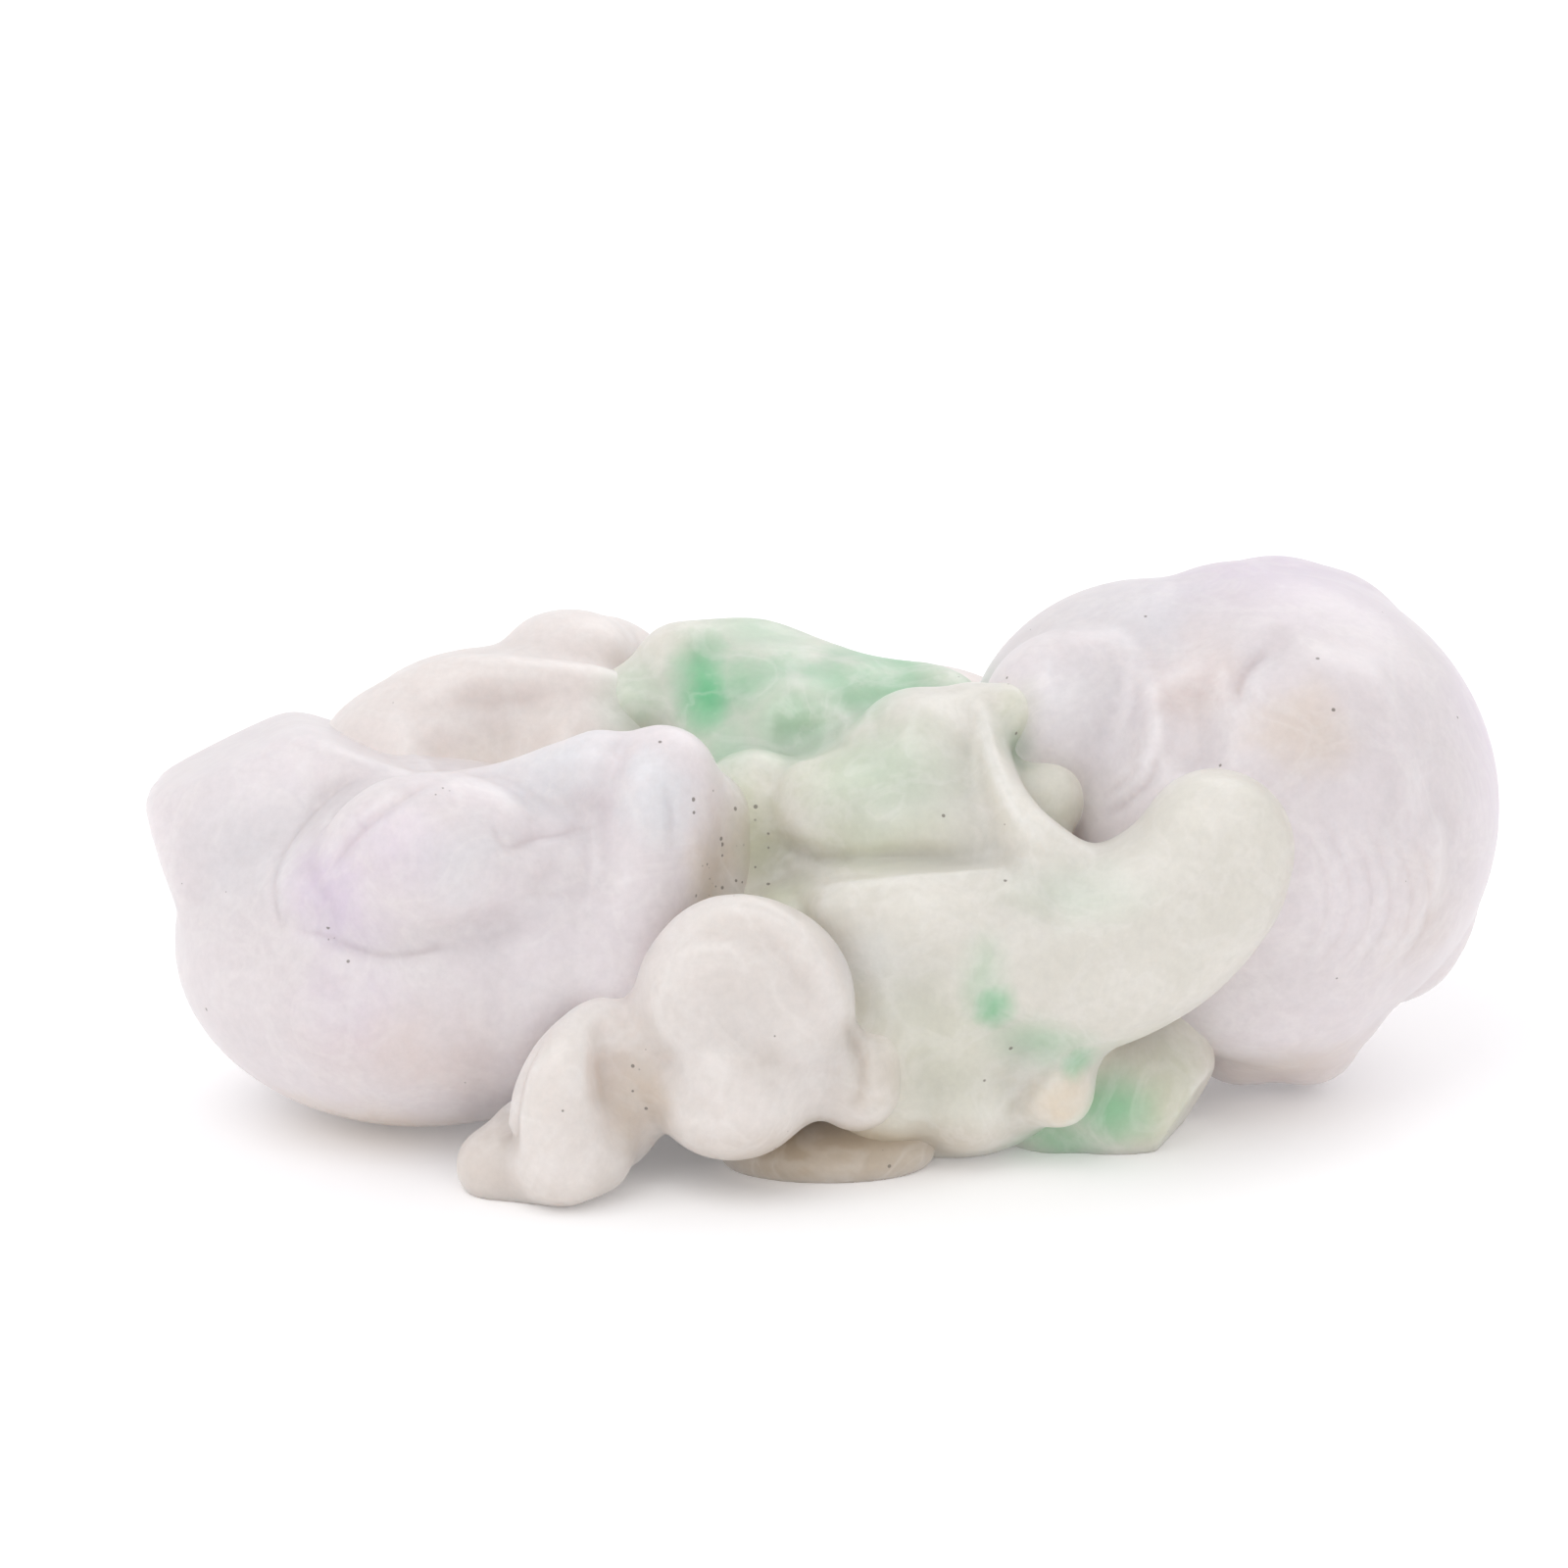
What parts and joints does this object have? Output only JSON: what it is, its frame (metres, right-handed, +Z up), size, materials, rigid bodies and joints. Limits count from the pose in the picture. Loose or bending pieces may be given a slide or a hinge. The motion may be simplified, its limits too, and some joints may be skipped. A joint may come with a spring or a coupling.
{
  "type": "carved jade figurine",
  "caption": "Small low carving of fruit, leaves and a fungus in polished pale lavender, white and green jadeite, which rests on its own rounded feet.",
  "frame": {"origin": "under the middle of the carving, on the surface it rests on", "axes": "+X along the carving to the right of its show side, +Y towards its back, +Z up"},
  "size_m": [0.0518, 0.0278, 0.0193],
  "materials": {
    "lavender_jadeite": "polished",
    "white_jadeite": "polished",
    "green_jadeite": "polished",
    "warm_jadeite": "polished"
  },
  "bodies": {
    "root": {"left_fruit": "lavender_jadeite", "left_boss": "lavender_jadeite", "left_leaf_rim": "lavender_jadeite", "left_leaf_ridge": "lavender_jadeite", "right_fruit": "lavender_jadeite", "right_crown": "lavender_jadeite", "right_swirl": "lavender_jadeite", "right_flap": "lavender_jadeite", "lower_lobe": "lavender_jadeite", "right_foot": "lavender_jadeite", "fungus_disc": "white_jadeite", "fungus_chin": "white_jadeite", "fungus_collar": "white_jadeite", "front_pod": "white_jadeite", "side_pod": "white_jadeite", "under_leaf": "white_jadeite", "broad_leaf": "white_jadeite", "leaf_scroll": "white_jadeite", "leaf_drop": "white_jadeite", "right_cheek": "white_jadeite", "stone_core": "white_jadeite", "back_leaf": "white_jadeite", "green_crest": "green_jadeite", "saddle_leaf": "green_jadeite", "middle_knuckle": "green_jadeite", "green_foot": "green_jadeite", "upper_knob": "green_jadeite", "lower_knob": "green_jadeite", "rear_leaf": "warm_jadeite", "rear_bud": "warm_jadeite", "rear_stem": "warm_jadeite", "rear_pod": "warm_jadeite"}
  },
  "joints": []
}
